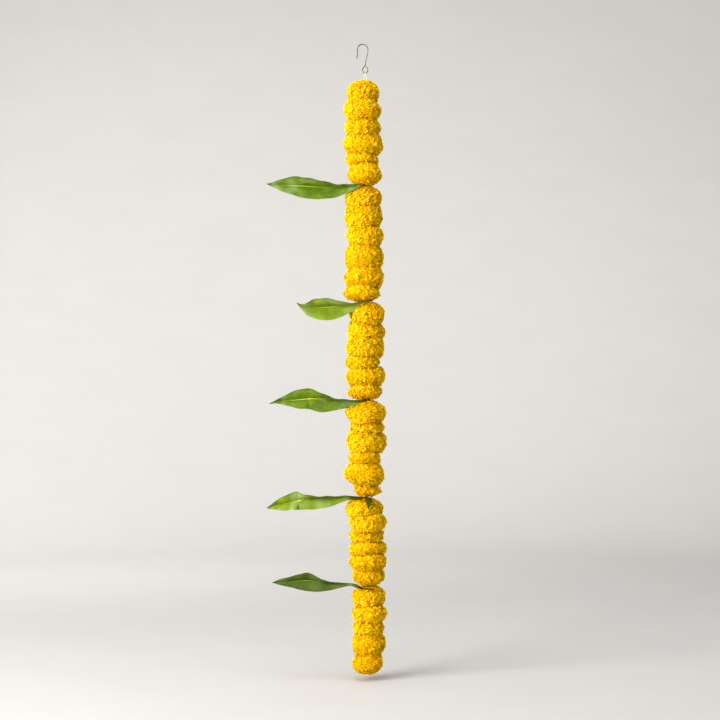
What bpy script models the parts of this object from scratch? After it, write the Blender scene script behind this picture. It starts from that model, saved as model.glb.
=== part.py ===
"""Marigold garland: flower heads and mango leaves strung on one thread below a wire hook.

Units are metres and +Z is up. The origin is the underside of the hook's crown, where the hook
bears on whatever it hangs from, and the garland hangs from there along -Z. The leaves point
towards -X, and their upper faces look towards -Y.
"""

import math
from typing import NamedTuple

import bmesh
import bpy
from mathutils import Vector

MM = 0.001
GAP = 0.3 * MM  # clearance between pieces that touch


class Head(NamedTuple):
    """One flower head as it is squeezed on the thread, in mm."""

    width: float
    height: float
    offset: float  # how far its middle sits to the right of the thread


class Station(NamedTuple):
    """One cross-section of a leaf blade, in mm from where its stalk crosses the thread."""

    reach: float  # out towards -X
    lower: float  # height of the lower edge
    rib: float  # height of the midrib
    upper: float  # height of the upper edge


class Leaf(NamedTuple):
    """One leaf: its tip, its blade from the tip to the stalk, and its stalk past the thread, in mm."""

    tip: tuple  # reach and height
    forward: float  # how far the blade stands in front of the thread
    blade: tuple  # stations
    stalk_end: tuple  # points (right, front, up) that the cut end follows after the thread


# Hook: round steel wire, bent in the XZ plane
WIRE_RADIUS = 0.8 * MM
CROWN_RADIUS = 8.5 * MM  # to the middle of the wire
CROWN_STEPS = 8
TIP_POINTS = ((-10.0, -22.8), (-8.9, -19.6), (-8.5, -15.5))  # (right, up) in mm, end of the wire first
SHANK_POINTS = ((8.3, -13.0), (6.6, -20.5), (5.1, -27.0), (4.7, -31.5))
EYE_POINTS = (
    (3.2, -35.2),
    (0.6, -38.6),
    (-0.2, -42.0),
    (1.5, -45.4),
    (4.2, -46.6),
    (7.1, -45.2),
    (8.4, -42.0),
    (7.7, -38.8),
    (6.5, -36.3),
    (5.7, -34.6),
)
EYE_BOTTOM = EYE_POINTS[4]
WIRE_BEVEL = 2  # rounding steps in a quarter of a wire's or a thread's section

# Thread: one length, doubled through the eye, knotted above the first head and below the last
THREAD_RADIUS = 0.45 * MM
THREAD_X = EYE_BOTTOM[0] * MM
KNOT_RADIUS = 2.0 * MM
KNOT_SINK = 1.2 * MM  # how far each knot's middle sits below the rim of the head it bears on
LOOP_RADIUS = WIRE_RADIUS + THREAD_RADIUS + GAP
LOOP_HALF_SPREAD = 2.2 * MM
# Front half of the loop: right in half spreads, front in loop radii, up from the eye's wire in loop radii
LOOP_START = (-0.4, 0.2)  # at the knot's own height
LOOP_FRONT = ((-1.0, 0.8, -6.0), (-0.6, 1.1, -2.5), (0.0, 1.0, 0.0))
STRAND_STEP = 40 * MM

# Flower heads
STRAND_TOP = -60 * MM
BORE_RADIUS = THREAD_RADIUS + 1.5 * GAP
LOBES = 9
LOBE_DEPTH = 0.035  # share of the radius
DIMPLE_DEPTH = 0.12  # share of the head's height
BULGE_POWER = 2.2
BULGE_HEIGHTS = (1.0, 0.78, 0.36)  # rings of a half head, as shares of its half height
END_RIM = 0.36  # radius where a head ends, as a share of its largest: free, at a leaf, or squeezed
LEAF_RIM = 0.5
SQUEEZED_RIM = 0.85
HEAD_TURN = math.tau / 5  # how far each head is turned on the thread from the one above
DEPTH_SWAY = 2.5 * MM  # the heads also sit a little in front of the thread or behind it
DEPTH_SWAY_STEP = 1.9  # radians from one head to the next

# The strand from top to bottom: a leaf hangs between one group and the next
GROUPS = (
    (Head(54, 33, -3.5), Head(62, 30, -4.5), Head(59, 25, -4.5), Head(65, 33, -3.5), Head(54, 17, -5),
     Head(57, 32, -1)),
    (Head(61, 32, -3.5), Head(62, 34, -3), Head(61, 29, -0.5), Head(64, 38, -2), Head(64, 31, -2),
     Head(61, 23, -5)),
    (Head(59, 32, 2), Head(62, 26, 1.5), Head(64, 32, 0), Head(56, 16, -4.5), Head(64, 31, 1),
     Head(57, 21, 0)),
    (Head(67, 35, 1), Head(57, 15, 3), Head(66, 35, 2), Head(53, 17, -1.5), Head(67, 36, -1.5),
     Head(44, 18, 3.5)),
    (Head(62, 28, -1), Head(61, 25, 4.5), Head(57, 18, 2), Head(62, 22, 4), Head(61, 24, 4.5),
     Head(54, 25, 5)),
    (Head(57, 32, 6), Head(57, 25, 6.5), Head(51, 19, 5.5), Head(56, 36, 6), Head(51, 30, 3)),
)

# Leaves
STALK_RADIUS = 1.2 * MM
STALK_HOLE_RADIUS = THREAD_RADIUS + GAP
STALK_HOLE_SIDES = 12
STALK_HOLE_SWELL = 1.6  # the stalk is this much wider, front to back, where the thread goes through
STALK_SWELL_REACH = 4 * STALK_RADIUS  # the stalk is back to its own width this far from the thread
LEAF_GAP = 2 * (STALK_RADIUS + GAP)
BLADE_ROOT = 20.0  # reach in mm at which the blade has narrowed to the stalk
BLADE_THICKNESS = 0.8 * MM
RIB_THICKNESS = 1.5 * MM
BLADE_LEAN = math.radians(20)  # the least that each half of a blade folds towards the front
BLADE_STEPS = 2  # sections for each station
BLADE_CORNERS = 8  # corners of a section
STALK_STEPS = 2  # sections for each point of a stalk's path
LEAVES = (
    Leaf(
        tip=(161, 3),
        forward=0,
        blade=(
            Station(140, -8, 1, 9),
            Station(118, -16, 0, 14),
            Station(95, -22, -1, 11),
            Station(71, -23, -2.5, 6),
            Station(46, -19, -2, 0),
            Station(30, -8, -0.5, 1),
        ),
        stalk_end=((3, 1, 0),),
    ),
    Leaf(
        tip=(112, -2),
        forward=10,
        blade=(
            Station(104, -13, -6.5, -4),
            Station(94, -23, -9.5, -2),
            Station(82, -28, -10, 4),
            Station(66, -31, -9, 5),
            Station(50, -29, -8, 3),
            Station(36, -22, -5, 0),
            Station(26, -8, -2.5, 0),
        ),
        stalk_end=((4, 3, 0), (8, 7, 0)),
    ),
    Leaf(
        tip=(157, -6),
        forward=4,
        blade=(
            Station(144, -6, -2, 1),
            Station(129, -9, -1, 9),
            Station(113, -13, 0, 16),
            Station(92, -15, 2, 19),
            Station(71, -20, 2.5, 12),
            Station(51, -17, 2, 4),
            Station(33, -8, 1, 2),
        ),
        stalk_end=((3, 2, 0),),
    ),
    Leaf(
        tip=(161, -18),
        forward=6,
        blade=(
            Station(148, -20, -13, -7),
            Station(133, -21, -11, 2),
            Station(114, -20, -7, 9),
            Station(99, -20, -3, 6),
            Station(82, -19, 0.5, 3.5),
            Station(62, -16, 2, 3.5),
            Station(44, -10, 2, 3.5),
            Station(29, -2, 2, 3.5),
        ),
        stalk_end=((2, 9, 0), (4, 18, 0), (5, 27, -4), (5, 33, -11), (4.5, 35, -17)),
    ),
    Leaf(
        tip=(152, 5),
        forward=4,
        blade=(
            Station(139, 1, 6, 11),
            Station(120, -3, 7, 16),
            Station(107, -6, 8, 20),
            Station(95, -8, 9, 23),
            Station(78, -9, 8, 17),
            Station(60, -7, 7, 9),
            Station(41, -2, 5, 6.5),
            Station(27, 0, 2, 3.5),
        ),
        stalk_end=((4, 5, 0), (8, 11, 0), (10, 17, -1)),
    ),
)


def principled(name, colour, roughness, metallic=0.0):
    """A material with one Principled BSDF; colour is linear RGB."""
    material = bpy.data.materials.new(name)
    material.use_nodes = True
    shader = material.node_tree.nodes["Principled BSDF"]
    shader.inputs["Base Color"].default_value = (*colour, 1.0)
    shader.inputs["Roughness"].default_value = roughness
    shader.inputs["Metallic"].default_value = metallic
    return material


def place(name, data, material, parent, location=(0, 0, 0)):
    """Adds an object to the scene with its material, under its parent."""
    obj = bpy.data.objects.new(name, data)
    if material:
        data.materials.append(material)
    obj.parent = parent
    obj.location = location
    bpy.context.scene.collection.objects.link(obj)
    return obj


def smooth_mesh(name, bm, sharp_degrees=50):
    """Turns a bmesh into a mesh with outward faces, shaded smooth apart from its sharp edges."""
    bmesh.ops.recalc_face_normals(bm, faces=bm.faces)
    mesh = bpy.data.meshes.new(name)
    bm.to_mesh(mesh)
    bm.free()
    mesh.shade_smooth()
    mesh.set_sharp_from_angle(angle=math.radians(sharp_degrees))
    return mesh


def bridge(bm, ring, following):
    """Joins two rings of the same number of vertices with quads."""
    for i in range(len(ring)):
        j = (i + 1) % len(ring)
        bm.faces.new((ring[i], ring[j], following[j], following[i]))


def wire_curve(name, points, radius, spline_type="BEZIER", steps=3):
    """A round wire along the points: through smooth automatic handles, or straight from point to point."""
    curve = bpy.data.curves.new(name, "CURVE")
    curve.dimensions = "3D"
    curve.bevel_depth = radius
    curve.bevel_resolution = WIRE_BEVEL
    curve.use_fill_caps = True
    curve.resolution_u = steps
    curve.render_resolution_u = 0
    spline = curve.splines.new(spline_type)
    if spline_type == "POLY":
        spline.points.add(len(points) - 1)
        for target, point in zip(spline.points, points):
            target.co = (*point, 1.0)
        return curve
    spline.bezier_points.add(len(points) - 1)
    for target, point in zip(spline.bezier_points, points):
        target.co = point
        target.handle_left_type = target.handle_right_type = "AUTO"
    return curve


def helper(name, data, parent, location=(0, 0, 0)):
    """An object that only shapes another one, and is no part of the garland itself."""
    obj = place(name, data, None, parent, location)
    obj.hide_render = True
    obj.display_type = "WIRE"
    return obj


def boolean(obj, operation, other):
    modifier = obj.modifiers.new(other.name, "BOOLEAN")
    modifier.operation = operation
    modifier.object = other


def closed_curve_mesh(name, curve):
    """The mesh of a capped curve, with the caps welded to its sides."""
    maker = bpy.data.objects.new(name, curve)
    bpy.context.scene.collection.objects.link(maker)
    graph = bpy.context.evaluated_depsgraph_get()
    mesh = bpy.data.meshes.new_from_object(maker.evaluated_get(graph))
    bpy.data.objects.remove(maker)
    bm = bmesh.new()
    bm.from_mesh(mesh)
    bpy.data.meshes.remove(mesh)
    bmesh.ops.remove_doubles(bm, verts=bm.verts, dist=0.001 * MM)
    return smooth_mesh(name, bm)


def make_hook(parent, steel):
    """The wire hook: a flared tip, a round crown, a slanting shank and a teardrop eye."""
    crown_middle = WIRE_RADIUS - CROWN_RADIUS
    crown = []
    for step in range(CROWN_STEPS + 1):
        turn = math.pi * (1 - step / CROWN_STEPS)
        crown.append(Vector((CROWN_RADIUS * math.cos(turn), 0, crown_middle + CROWN_RADIUS * math.sin(turn))))
    tip = [Vector((x, 0, z)) * MM for x, z in TIP_POINTS]
    below = [Vector((x, 0, z)) * MM for x, z in SHANK_POINTS + EYE_POINTS]
    curve = wire_curve("garland_hook", tip + crown + below, WIRE_RADIUS)
    place("garland_hook", curve, steel, parent)


def knot_mesh(name):
    bm = bmesh.new()
    bmesh.ops.create_icosphere(bm, subdivisions=2, radius=KNOT_RADIUS)
    return smooth_mesh(name, bm)


def make_thread(parent, cotton, strand_bottom):
    """The thread: a loop round the eye's wire, a knot on the first head, the strand and the end knot."""
    top_knot = Vector((THREAD_X, 0, STRAND_TOP - KNOT_SINK))
    end_knot = Vector((THREAD_X, 0, strand_bottom + KNOT_SINK))
    steps = math.ceil((top_knot.z - end_knot.z) / STRAND_STEP)
    strand = [top_knot.lerp(end_knot, i / steps) for i in range(steps + 1)]
    thread = place(
        "garland_thread",
        closed_curve_mesh("garland_thread", wire_curve("strand", strand, THREAD_RADIUS, "POLY")),
        cotton,
        parent,
    )

    wire_middle = EYE_BOTTOM[1] * MM
    start_right, start_front = LOOP_START
    front_side = [(start_right * LOOP_HALF_SPREAD, -start_front * LOOP_RADIUS, top_knot.z)]
    for right, front, up in LOOP_FRONT:
        front_side.append((right * LOOP_HALF_SPREAD, -front * LOOP_RADIUS, wire_middle + up * LOOP_RADIUS))
    back_side = [(-x, -y, z) for x, y, z in reversed(front_side)]
    loop = [Vector(p) for p in (*front_side, (0, 0, wire_middle + LOOP_RADIUS), *back_side)]
    loop = [p + Vector((THREAD_X, 0, 0)) for p in loop]
    loop_mesh = closed_curve_mesh("eye_loop", wire_curve("eye_loop", loop, THREAD_RADIUS))
    for shape in (
        helper("eye_loop", loop_mesh, parent),
        helper("top_knot", knot_mesh("top_knot"), parent, top_knot),
        helper("end_knot", knot_mesh("end_knot"), parent, end_knot),
    ):
        boolean(thread, "UNION", shape)


def head_mesh(name, head, top_rim, bottom_rim, turn, sway):
    """A squeezed ball of petals: lobed rings that bulge between its two rims, dimpled where the thread
    enters, with the thread's bore through it. The bore is on the local Z axis."""
    radius = head.width / 2 * MM
    half = head.height / 2 * MM - GAP / 2
    middle = Vector((head.offset * MM, sway, 0))
    heights = [(share, top_rim) for share in BULGE_HEIGHTS]
    heights += [(-share, bottom_rim) for share in reversed(BULGE_HEIGHTS)]
    sides = 2 * LOBES
    bm = bmesh.new()

    def ring(centre, ring_radius, height, depth, phase):
        vertices = []
        for i in range(sides):
            angle = turn + math.tau * i / sides
            reach = ring_radius * (1 + depth * math.cos(LOBES * (angle - turn) + phase))
            vertices.append(
                bm.verts.new((centre.x + reach * math.cos(angle), centre.y + reach * math.sin(angle), height))
            )
        return vertices

    bore_middle = Vector((0, 0, 0))
    bore_height = half - DIMPLE_DEPTH * 2 * half
    rings = [ring(bore_middle, BORE_RADIUS, bore_height, 0, 0)]
    for index, (share, rim) in enumerate(heights):
        narrowing = (1 - rim) * abs(share) ** BULGE_POWER
        # a lobe of one ring stands over a notch of the next
        rings.append(ring(middle, radius * (1 - narrowing), share * half, LOBE_DEPTH, math.pi * index))
    rings.append(ring(bore_middle, BORE_RADIUS, -bore_height, 0, 0))
    for i, first in enumerate(rings):
        bridge(bm, first, rings[(i + 1) % len(rings)])
    return smooth_mesh(name, bm)


def make_heads(parent, petals):
    """All flower heads, down the thread. Returns the height of each gap that holds a leaf's stalk, and
    the height at which the strand ends."""
    height = STRAND_TOP
    leaf_heights = []
    number = 0
    for group_index, group in enumerate(GROUPS):
        if group_index:
            leaf_heights.append(height - LEAF_GAP / 2)
            height -= LEAF_GAP
        for index, head in enumerate(group):
            top_rim = SQUEEZED_RIM if index else LEAF_RIM
            bottom_rim = SQUEEZED_RIM if index < len(group) - 1 else LEAF_RIM
            if number == 0:
                top_rim = END_RIM
            if group is GROUPS[-1] and index == len(group) - 1:
                bottom_rim = END_RIM
            number += 1
            name = f"flower_{number:02d}"
            sway = DEPTH_SWAY * math.sin(DEPTH_SWAY_STEP * number)
            mesh = head_mesh(name, head, top_rim, bottom_rim, number * HEAD_TURN, sway)
            middle = height - head.height / 2 * MM
            place(name, mesh, petals, parent, (THREAD_X, 0, middle))
            height -= head.height * MM
    return leaf_heights, height


def through(points, steps):
    """Points on a smooth curve through the given ones, which it keeps, with the given steps between two."""
    ends = [points[0], *points, points[-1]]
    curve = []
    for before, start, end, after in zip(ends, ends[1:], ends[2:], ends[3:]):
        for step in range(steps):
            t = step / steps
            point = []
            for a, b, c, d in zip(before, start, end, after):
                square, cube = 2 * a - 5 * b + 4 * c - d, 3 * b - a - 3 * c + d
                point.append(0.5 * (2 * b + (c - a) * t + square * t**2 + cube * t**3))
            curve.append(point)
    return [*curve, list(points[-1])]


def blade_ring(reach, lower, rib, upper, forward):
    """The corners of a folded blade: both halves are equally wide and fold to the front, so the half that
    shows less is the one that folds more. They run from the upper edge down the front and up the back."""
    middle = Vector((-reach, -forward, rib)) * MM
    drop, rise = (rib - lower) * MM, (upper - rib) * MM
    width = max(drop, rise) / math.cos(BLADE_LEAN)
    upper_half = Vector((0, -math.sqrt(width**2 - rise**2), rise))
    lower_half = Vector((0, -math.sqrt(width**2 - drop**2), -drop))
    upper_front = Vector((0, -upper_half.z, upper_half.y)).normalized() * min(BLADE_THICKNESS, width) / 2
    lower_front = Vector((0, lower_half.z, -lower_half.y)).normalized() * min(BLADE_THICKNESS, width) / 2
    rib_front = (upper_front + lower_front).normalized() * min(RIB_THICKNESS, width) / 2
    return [
        middle + upper_half,
        middle + upper_half / 2 + upper_front,
        middle + rib_front,
        middle + lower_half / 2 + lower_front,
        middle + lower_half,
        middle + lower_half / 2 - lower_front,
        middle - rib_front,
        middle + upper_half / 2 - upper_front,
    ]


def stalk_ring(middle, along, swell):
    """Corners round the stalk, in the same order as a blade's."""
    up = (Vector((0, 0, 1)) - along * along.z).normalized()
    front = along.cross(up)
    corners = []
    for i in range(BLADE_CORNERS):
        angle = math.tau * i / BLADE_CORNERS
        corners.append(middle + STALK_RADIUS * (math.cos(angle) * up + swell * math.sin(angle) * front))
    return corners


def leaf_mesh(name, leaf):
    """A leaf in one piece: a pointed blade folded along its midrib, narrowing to a stalk that crosses the
    thread and ends cut. The thread's axis is the local Z axis."""
    bm = bmesh.new()
    tip_reach, tip_height = leaf.tip
    tip = bm.verts.new(Vector((-tip_reach, -leaf.forward, tip_height)) * MM)
    root = (BLADE_ROOT + leaf.forward / 2, -STALK_RADIUS / MM, 0, STALK_RADIUS / MM)
    stations = through([*leaf.blade, root], BLADE_STEPS)[:-1]
    rings = []
    for reach, lower, rib, upper in stations:
        settled = min(1.0, (reach - BLADE_ROOT) / BLADE_ROOT)
        rings.append(blade_ring(reach, lower, rib, upper, leaf.forward * settled))

    path = [Vector((-BLADE_ROOT, 0, 0)), Vector((-BLADE_ROOT / 2, 0, 0)), Vector((0, 0, 0))]
    path += [Vector((right, -front, up)) for right, front, up in leaf.stalk_end]
    smooth_path = [Vector(p) * MM for p in through(path, STALK_STEPS)]
    for i, middle in enumerate(smooth_path):
        before, after = smooth_path[max(i - 1, 0)], smooth_path[min(i + 1, len(smooth_path) - 1)]
        near_thread = max(0.0, 1 - middle.length / STALK_SWELL_REACH)
        swell = 1 + (STALK_HOLE_SWELL - 1) * near_thread
        rings.append(stalk_ring(middle, (after - before).normalized(), swell))

    loops = [[bm.verts.new(corner) for corner in ring] for ring in rings]
    for i, corner in enumerate(loops[0]):
        bm.faces.new((tip, loops[0][(i + 1) % BLADE_CORNERS], corner))
    for first, second in zip(loops, loops[1:]):
        bridge(bm, first, second)
    bm.faces.new(loops[-1])
    bmesh.ops.triangulate(bm, faces=bm.faces)
    return smooth_mesh(name, bm)


def make_leaves(parent, green, leaf_heights):
    """The leaves, each with a hole in its stalk for the thread."""
    for number, (leaf, height) in enumerate(zip(LEAVES, leaf_heights), start=1):
        name = f"leaf_{number}"
        crossing = (THREAD_X, 0, height)
        obj = place(name, leaf_mesh(name, leaf), green, parent, crossing)
        bm = bmesh.new()
        bmesh.ops.create_cone(
            bm,
            cap_ends=True,
            segments=STALK_HOLE_SIDES,
            radius1=STALK_HOLE_RADIUS,
            radius2=STALK_HOLE_RADIUS,
            depth=2 * STALK_SWELL_REACH,
        )
        boolean(obj, "DIFFERENCE", helper(f"{name}_hole", smooth_mesh(f"{name}_hole", bm), parent, crossing))


def main():
    for obj in list(bpy.data.objects):
        bpy.data.objects.remove(obj)
    petals = principled("marigold petals", (0.89, 0.54, 0.01), 0.7)
    green = principled("mango leaf", (0.10, 0.24, 0.03), 0.4)
    cotton = principled("cotton thread", (0.80, 0.74, 0.60), 0.9)
    steel = principled("steel wire", (0.42, 0.40, 0.36), 0.35, 1.0)

    garland = bpy.data.objects.new("garland", None)
    bpy.context.scene.collection.objects.link(garland)
    make_hook(garland, steel)
    leaf_heights, strand_bottom = make_heads(garland, petals)
    make_thread(garland, cotton, strand_bottom)
    make_leaves(garland, green, leaf_heights)


main()
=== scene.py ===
"""Marigold garland: ruffled flower heads and folded mango leaves on a cotton thread below a wire hook.

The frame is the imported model: metres, +Z up, with the origin on the underside of the hook's crown.
Lengths with no unit are millimetres until MM turns them into metres.
"""

import logging
import math
from collections.abc import Sequence
from dataclasses import dataclass
from enum import Enum

import bpy
import numpy as np
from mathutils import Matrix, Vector


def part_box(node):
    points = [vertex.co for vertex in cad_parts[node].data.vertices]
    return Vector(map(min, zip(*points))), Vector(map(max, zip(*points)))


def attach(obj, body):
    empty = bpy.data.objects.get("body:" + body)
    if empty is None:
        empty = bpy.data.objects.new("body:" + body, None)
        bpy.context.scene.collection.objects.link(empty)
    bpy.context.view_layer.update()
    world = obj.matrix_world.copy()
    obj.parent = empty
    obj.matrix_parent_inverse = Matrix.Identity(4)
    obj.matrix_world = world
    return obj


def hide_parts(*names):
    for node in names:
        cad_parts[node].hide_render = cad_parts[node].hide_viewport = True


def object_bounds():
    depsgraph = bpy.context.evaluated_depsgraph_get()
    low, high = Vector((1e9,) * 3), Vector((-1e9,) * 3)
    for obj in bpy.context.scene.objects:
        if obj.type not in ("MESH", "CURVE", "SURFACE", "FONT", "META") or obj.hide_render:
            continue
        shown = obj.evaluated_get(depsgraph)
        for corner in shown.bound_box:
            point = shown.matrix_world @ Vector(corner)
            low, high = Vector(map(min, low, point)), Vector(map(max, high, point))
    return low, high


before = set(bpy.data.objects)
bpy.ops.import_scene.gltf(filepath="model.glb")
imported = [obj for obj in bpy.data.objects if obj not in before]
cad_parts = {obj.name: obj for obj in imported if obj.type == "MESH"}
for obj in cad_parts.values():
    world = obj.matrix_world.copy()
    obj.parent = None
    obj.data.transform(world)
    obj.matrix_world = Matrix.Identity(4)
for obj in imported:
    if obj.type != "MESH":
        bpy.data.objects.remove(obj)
CAD_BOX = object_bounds()

MM = 0.001
GOLDEN_ANGLE = math.pi * (3 - math.sqrt(5))
BODY = "root"
LOG = logging.getLogger("garland")

Array = np.ndarray
Pair = tuple[float, float]
Triple = tuple[float, float, float]
Colour = tuple[float, float, float, float]
Mesh = tuple[Array, list[tuple[int, ...]]]
Material = bpy.types.Material
Output = bpy.types.NodeSocket
Span = tuple[float | Output, float | Output]
UNIT: Span = (0.0, 1.0)


def linear(hex_colour: str) -> Colour:
    """Turns an sRGB hex colour into linear RGBA."""
    shares = [int(hex_colour[i : i + 2], 16) / 255 for i in (1, 3, 5)]
    return (*(s / 12.92 if s <= 0.04045 else ((s + 0.055) / 1.055) ** 2.4 for s in shares), 1.0)


def socket(sockets: bpy.types.bpy_prop_collection, key: str) -> Output:
    """A node's socket with this identifier or, where none has it, with this name."""
    return next((s for s in sockets if s.identifier == key), None) or sockets[key]


class Shading:
    """A material's nodes. Each method adds one, takes numbers or outputs, and gives its output."""

    def __init__(self, name: str) -> None:
        """Starts an empty material.

        Args:
            name: The material's name.
        """
        self.material = bpy.data.materials.new(name)
        self.material.use_nodes = True
        self.tree = self.material.node_tree
        self.tree.nodes.clear()

    def add(self, kind: str, output: str, values: dict[str, object]) -> Output:
        """Adds a node of any kind.

        Args:
            kind: The node's type, after "ShaderNode".
            output: The output that is wanted.
            values: A value for each property or input of the node, or the output that feeds an input.

        Returns:
            The output.
        """
        made = self.tree.nodes.new(f"ShaderNode{kind}")
        for key, value in values.items():
            if isinstance(value, bpy.types.NodeSocket):
                self.tree.links.new(value, socket(made.inputs, key))
            elif hasattr(made, key):
                setattr(made, key, value)
            else:
                socket(made.inputs, key).default_value = value
        return socket(made.outputs, output)

    def attribute(self, name: str) -> Output:
        """A number that each vertex carries."""
        return self.add("Attribute", "Fac", {"attribute_name": name})

    def noise(self, size: float, detail: float) -> Output:
        """Noise from 0 to 1, in patches of about this size in mm."""
        place = self.add("TexCoord", "Object", {})
        return self.add("TexNoise", "Fac", {"Scale": 1 / (size * MM), "Detail": detail, "Vector": place})

    def math(self, operation: str, *values: float | Output) -> Output:
        """A sum, product or the like of up to three numbers."""
        inputs = dict(zip(("Value", "Value_001", "Value_002"), values))
        return self.add("Math", "Value", {"operation": operation, **inputs})

    def ramp(self, share: Output, *stops: tuple[float, str]) -> Output:
        """Colours in turn.

        Args:
            share: Where along the ramp it is, from 0 to 1.
            stops: Each colour's position and sRGB hex value.

        Returns:
            The colour.
        """
        mixed = self.add("ValToRGB", "Color", {"Fac": share})
        elements = mixed.node.color_ramp.elements
        while len(elements) < len(stops):
            elements.new(1.0)
        for element, (position, colour) in zip(elements, stops):
            element.position = position
            element.color = linear(colour)
        return mixed

    def mix(self, share: Output, first: Output | Colour, second: Output | Colour) -> Output:
        """A colour between two."""
        values = {"data_type": "RGBA", "Factor_Float": share, "A_Color": first, "B_Color": second}
        return self.add("Mix", "Result_Color", values)

    def remap(self, value: Output, span: Span = UNIT, to: Span = UNIT, smooth: bool = False) -> Output:
        """Carries a number from one span to another.

        Args:
            value: The number.
            span: The ends that it comes from.
            to: The ends that it goes to.
            smooth: Whether it eases in and out.

        Returns:
            The new number, held between its ends.
        """
        ends = {"From Min": span[0], "From Max": span[1], "To Min": to[0], "To Max": to[1]}
        kind = "SMOOTHSTEP" if smooth else "LINEAR"
        return self.add("MapRange", "Result", {"interpolation_type": kind, "Value": value, **ends})

    def bump(self, height: Output, strength: float, depth: float) -> Output:
        """The surface's direction with a relief of this depth in mm."""
        values = {"Strength": strength, "Distance": depth * MM, "Height": height}
        return self.add("Bump", "Normal", values)

    def surface(self, values: dict[str, object]) -> Material:
        """Gives the material its surface.

        Args:
            values: A value or an output for each input of the surface.

        Returns:
            The finished material.
        """
        end = self.tree.nodes.new("ShaderNodeOutputMaterial")
        self.tree.links.new(self.add("BsdfPrincipled", "BSDF", values), end.inputs["Surface"])
        return self.material


def through(points: Array, steps: int) -> Array:
    """Points on a smooth curve that passes through the given ones.

    Args:
        points: Points or rows of numbers, in order, shaped (n, k).
        steps: How many steps there are between one point and the next.

    Returns:
        Points shaped (steps * (n - 1) + 1, k).
    """
    ends = np.concatenate([points[:1], points, points[-1:]])
    t = (np.arange(steps) / steps)[None, :, None]
    a, b, c, d = (ends[i : len(ends) - 3 + i, None, :] for i in range(4))
    square, cube = 2 * a - 5 * b + 4 * c - d, 3 * b - a - 3 * c + d
    curve = 0.5 * (2 * b + (c - a) * t + square * t**2 + cube * t**3)
    return np.concatenate([curve.reshape(-1, points.shape[1]), points[-1:]])


def running(steps: Array) -> Array:
    """Running totals along the last axis, from 0."""
    return np.concatenate([np.zeros_like(steps[..., :1]), np.cumsum(steps, axis=-1)], axis=-1)


def travelled(path: Array) -> Array:
    """How far along a path each of its points lies."""
    return running(np.linalg.norm(np.diff(path, axis=0), axis=1))


def whole_turn(count: int) -> Array:
    """Angles at even steps once round, from 0."""
    return math.tau * np.arange(count) / count


def smoothstep(share: Array | float) -> Array:
    """Eases a share from 0 to 1."""
    held = np.clip(share, 0.0, 1.0)
    return held * held * (3 - 2 * held)


def unit(vectors: Array) -> Array:
    """The vectors at length 1."""
    return vectors / np.linalg.norm(vectors, axis=-1, keepdims=True)


def join(parts: Sequence[Mesh]) -> Mesh:
    """Puts several meshes into one.

    Args:
        parts: The meshes.

    Returns:
        All vertices and faces.
    """
    vertices, faces, count = [], [], 0
    for part_vertices, part_faces in parts:
        vertices.append(part_vertices)
        faces += [tuple(i + count for i in face) for face in part_faces]
        count += len(part_vertices)
    return np.concatenate(vertices), faces


def ring_faces(rings: int, sides: int, closed: bool = False) -> list[tuple[int, ...]]:
    """Quads between rings of vertices.

    Args:
        rings: How many rings there are.
        sides: How many vertices each ring has.
        closed: Whether the last ring joins the first. Otherwise both end in a flat cap.

    Returns:
        The faces, facing out for rings that run anticlockwise about the way along them.
    """
    faces = []
    for ring in range(rings if closed else rings - 1):
        this, following = ring * sides, (ring + 1) % rings * sides
        for i in range(sides):
            j = (i + 1) % sides
            faces.append((this + i, this + j, following + j, following + i))
    if not closed:
        faces.append(tuple(reversed(range(sides))))
        faces.append(tuple(range((rings - 1) * sides, rings * sides)))
    return faces


def sweep(path: Array, radii: Array, closed: bool = False) -> Mesh:
    """Carries a round section along a path, without letting it twist.

    Args:
        path: Points shaped (n, 3).
        radii: The section's radius at each point and angle, shaped (n, sides).
        closed: Whether the path ends where it starts.

    Returns:
        The tube's vertices and faces.
    """
    if closed:
        along = unit(np.roll(path, -1, axis=0) - np.roll(path, 1, axis=0))
    else:
        along = unit(np.gradient(path, axis=0))
    side = np.empty_like(path)
    reference = np.array([0.0, 1.0, 0.0]) if abs(along[0, 1]) < 0.9 else np.array([1.0, 0.0, 0.0])
    for i, direction in enumerate(along):
        across = reference - direction * (reference @ direction)
        side[i] = across / np.linalg.norm(across)
        reference = side[i]
    other = np.cross(along, side)
    turn = whole_turn(radii.shape[1])[None, :, None]
    ring = np.cos(turn) * side[:, None] + np.sin(turn) * other[:, None]
    rings = path[:, None] + radii[:, :, None] * ring
    return rings.reshape(-1, 3), ring_faces(len(path), radii.shape[1], closed)


def add_object(name: str, mesh_parts: Mesh, material: Material, sharp: float = 60.0) -> bpy.types.Object:
    """Makes an object of a mesh, shaded smooth apart from its sharp edges.

    Args:
        name: The object's name.
        mesh_parts: Vertices in metres, and faces.
        material: The finish that it wears.
        sharp: Degrees; edges that turn more stay sharp.

    Returns:
        The object, in the scene.
    """
    vertices, faces = mesh_parts
    mesh = bpy.data.meshes.new(name)
    mesh.from_pydata(vertices, [], faces)
    mesh.materials.append(material)
    mesh.shade_smooth()
    mesh.set_sharp_from_angle(angle=math.radians(sharp))
    obj = bpy.data.objects.new(name, mesh)
    bpy.context.scene.collection.objects.link(obj)
    return obj


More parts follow.
